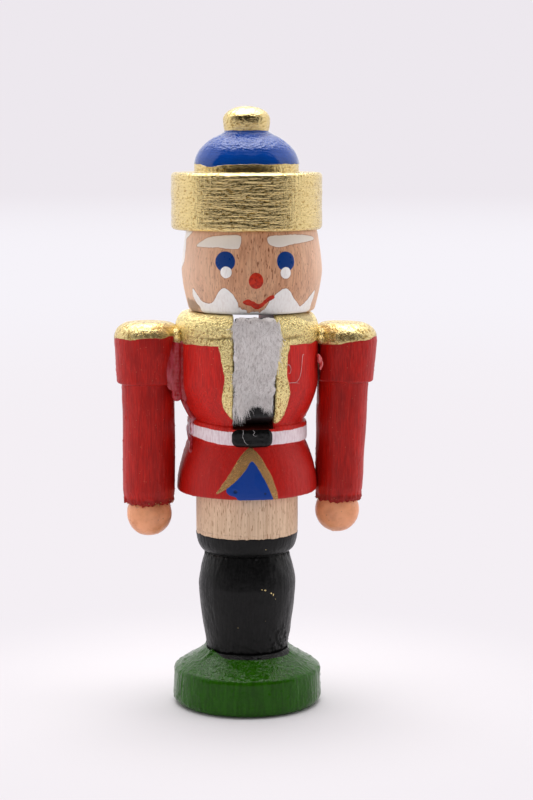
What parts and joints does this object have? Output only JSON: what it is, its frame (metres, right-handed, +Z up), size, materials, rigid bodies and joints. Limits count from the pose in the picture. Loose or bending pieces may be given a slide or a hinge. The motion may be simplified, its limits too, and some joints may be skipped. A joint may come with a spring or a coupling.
{
  "type": "nutcracker figure",
  "caption": "Painted wooden nutcracker figure on a round base, with a gold and blue hat, glued arms, a fur beard and a jaw lever that hinges on a pin, worked by a handle down the back.",
  "frame": {"origin": "centre of the base's flat underside, on the axis of the turned legs, coat and hat", "axes": "+Z up along the turned pieces' axis; the figure faces -Y, so its right arm is at -X and the lever's handle is at +Y"},
  "size_m": [0.0434, 0.03, 0.0991],
  "materials": {
    "green_paint": "turned beech with glossy green paint, brush strokes showing",
    "boot_and_trousers": "turned beech, boots in satin black paint, trousers left bare",
    "red_paint": "turned beech in satin red paint with the grain showing, and gold, white, blue and black details",
    "black_paint": "cut beech in satin black paint",
    "bare_beech": "smooth bare beech with short dark grain flecks and a painted face",
    "gold_paint": "turned beech in metallic gold paint with brush marks, blue gloss on the dome",
    "peach_paint": "smooth satin peach paint on turned beech",
    "peg_wood": "plain beech dowel",
    "pin_steel": "plain drawn steel pin",
    "beard_fur": "short curly grey-white fur",
    "hot_glue": "translucent hot-melt glue tinted by the paint under it"
  },
  "bodies": {
    "figure": {"base_disc": "green_paint", "base_peg": "peg_wood", "legs": "boot_and_trousers", "hip_peg": "peg_wood", "coat_body": "red_paint", "lever_pin": "pin_steel", "head": "bare_beech", "head_peg_right": "peg_wood", "head_peg_left": "peg_wood", "hat": "gold_paint", "hat_peg": "peg_wood", "right_arm": "red_paint", "left_arm": "red_paint", "right_hand": "peach_paint", "left_hand": "peach_paint", "right_shoulder_peg": "peg_wood", "left_shoulder_peg": "peg_wood", "right_shoulder_glue": "hot_glue", "left_shoulder_glue": "hot_glue"},
    "jaw": {"jaw_lever": "black_paint", "beard": "beard_fur"}
  },
  "joints": [
    {"name": "jaw_hinge", "type": "hinge", "parent": "figure", "child": "jaw", "pos_m": [0, -0.0055, 0.0506], "axis": [1, 0, 0], "range_deg": [0, 18]}
  ]
}
